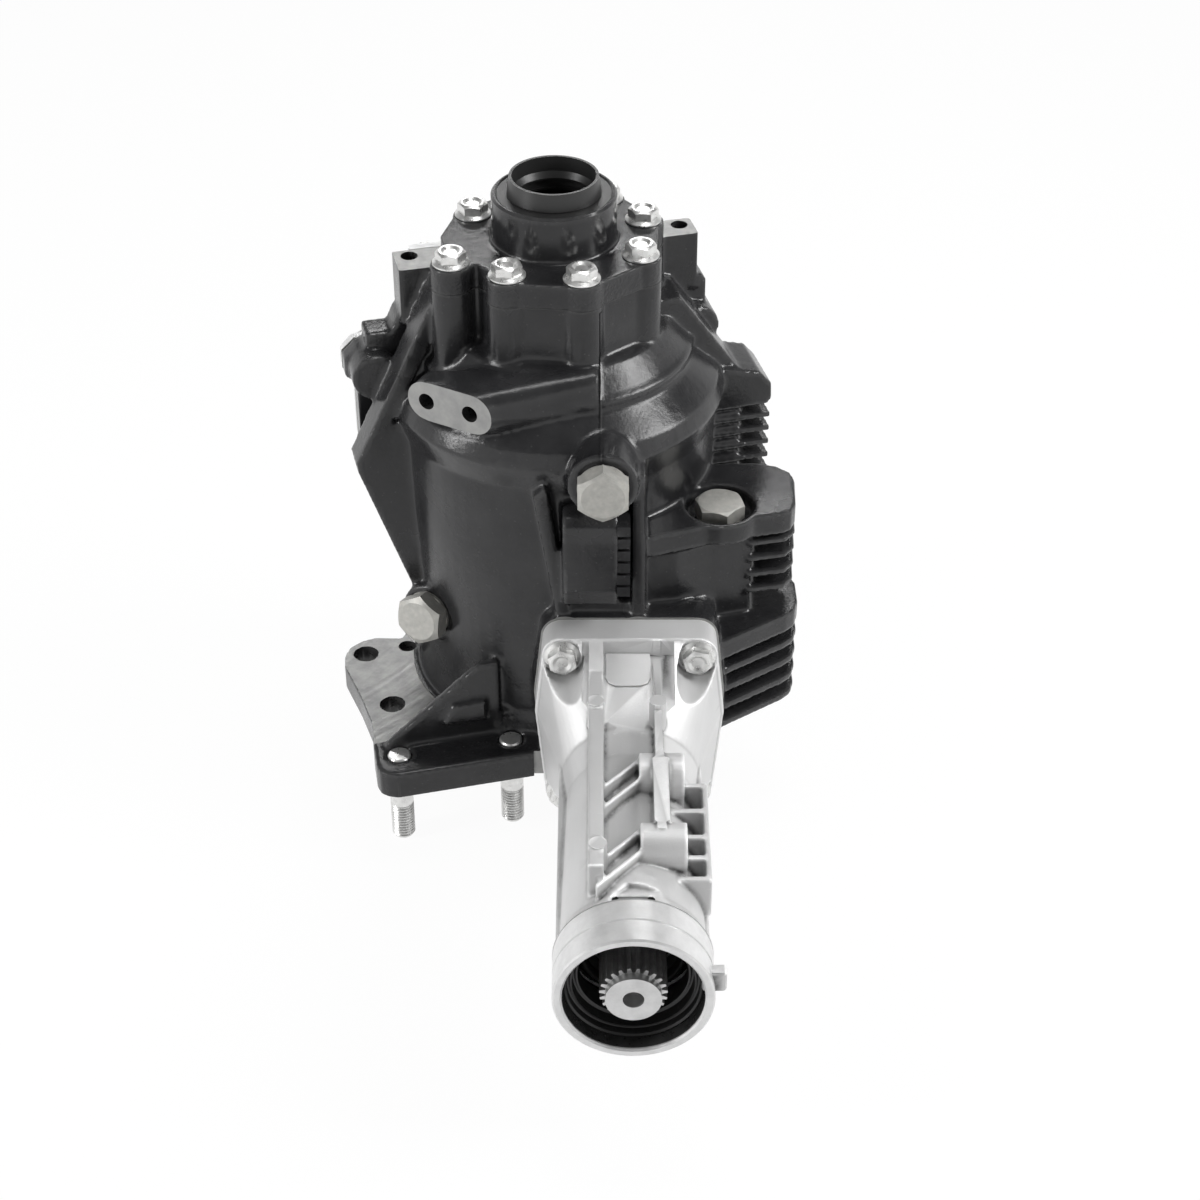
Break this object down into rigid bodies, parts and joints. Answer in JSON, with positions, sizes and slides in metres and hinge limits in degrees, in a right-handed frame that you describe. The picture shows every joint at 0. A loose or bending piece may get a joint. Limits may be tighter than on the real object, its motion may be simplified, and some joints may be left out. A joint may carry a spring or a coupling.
{
  "type": "transfer case",
  "caption": "Transfer case with a black cast gear bell, a bolted side cover with a shaft seal, hex plugs, cooling fins, mounting studs and a bare aluminium extension housing.",
  "frame": {"origin": "on the side-shaft axis, in the plane of the mating face", "axes": "+Z along the side-shaft axis, out of the side seal; the output shaft points along -Y; +X to the right seen from the output end"},
  "size_m": [0.2384, 0.3914, 0.3335],
  "materials": {
    "black_casting": "satin black paint over a sand-cast skin",
    "bare_casting": "bare die-cast skin, machined at joints and mouth",
    "bright_zinc": "bright zinc plating",
    "dull_zinc": "matt zinc plating",
    "gasket": "grey paper gasket or sealant line",
    "black_rubber": "moulded black seal rubber",
    "bronze": "plain bearing bronze",
    "race_steel": "ground bearing steel",
    "gear_steel": "oiled, machined gear steel"
  },
  "bodies": {
    "case": {"case_body": "black_casting", "rear_cover": "bare_casting", "rear_cover_gasket": "gasket", "rear_cover_bolts": "bright_zinc", "side_cover": "black_casting", "cover_gasket": "gasket", "cover_bolts": "bright_zinc", "side_seal_case": "black_rubber", "side_seal_lip": "black_rubber", "preload_shim": "race_steel", "input_seal": "black_rubber", "spigot_o_ring": "black_rubber", "mounting_studs": "bright_zinc", "dowel_pins": "race_steel", "front_plug": "dull_zinc", "left_plug": "dull_zinc", "top_plug": "dull_zinc", "plug_washers": "dull_zinc", "extension_housing": "bare_casting", "extension_gasket": "gasket", "extension_bolts": "bright_zinc", "extension_bush": "bronze", "extension_seal_case": "black_rubber", "extension_seal_lip": "black_rubber", "lower_bearing_cup": "race_steel", "upper_bearing_cup": "race_steel", "inner_pinion_cup": "race_steel", "outer_pinion_cup": "race_steel"},
    "gear_set": {"input_shaft": "gear_steel", "gear_carrier": "gear_steel", "ring_gear": "gear_steel", "ring_gear_bolts": "dull_zinc", "lower_bearing_cone": "race_steel", "upper_bearing_cone": "race_steel"},
    "pinion": {"drive_pinion": "gear_steel", "pinion_spacer": "race_steel", "pinion_lock_nut": "dull_zinc", "inner_pinion_cone": "race_steel", "outer_pinion_cone": "race_steel"},
    "lower_bearing_rolling_set": {"lower_bearing_rollers": "race_steel", "lower_bearing_cage": "race_steel"},
    "upper_bearing_rolling_set": {"upper_bearing_rollers": "race_steel", "upper_bearing_cage": "race_steel"},
    "inner_pinion_rolling_set": {"inner_pinion_rollers": "race_steel", "inner_pinion_cage": "race_steel"},
    "outer_pinion_rolling_set": {"outer_pinion_rollers": "race_steel", "outer_pinion_cage": "race_steel"}
  },
  "joints": [
    {"name": "ring_gear_spin", "type": "hinge", "parent": "case", "child": "gear_set", "pos_m": [0, 0, 0], "axis": [0, 0, 1], "continuous": true},
    {"name": "pinion_spin", "type": "hinge", "parent": "case", "child": "pinion", "pos_m": [0.0365, -0.088, 0.0457], "axis": [0, 1, 0], "continuous": true},
    {"name": "lower_bearing_orbit", "type": "hinge", "parent": "case", "child": "lower_bearing_rolling_set", "pos_m": [0, 0, 0.006], "axis": [0, 0, 1], "continuous": true},
    {"name": "upper_bearing_orbit", "type": "hinge", "parent": "case", "child": "upper_bearing_rolling_set", "pos_m": [0, 0, 0.233], "axis": [0, 0, 1], "continuous": true},
    {"name": "inner_pinion_orbit", "type": "hinge", "parent": "case", "child": "inner_pinion_rolling_set", "pos_m": [0.0365, -0.073, 0.0457], "axis": [0, 1, 0], "continuous": true},
    {"name": "outer_pinion_orbit", "type": "hinge", "parent": "case", "child": "outer_pinion_rolling_set", "pos_m": [0.0365, -0.1265, 0.0457], "axis": [0, 1, 0], "continuous": true}
  ],
  "couplings": [
    {"joint": "pinion_spin", "follows": "ring_gear_spin", "ratio": 3},
    {"joint": "lower_bearing_orbit", "follows": "ring_gear_spin", "ratio": 0.439},
    {"joint": "upper_bearing_orbit", "follows": "ring_gear_spin", "ratio": 0.439},
    {"joint": "inner_pinion_orbit", "follows": "ring_gear_spin", "ratio": 1.2468},
    {"joint": "outer_pinion_orbit", "follows": "ring_gear_spin", "ratio": 1.2454}
  ]
}
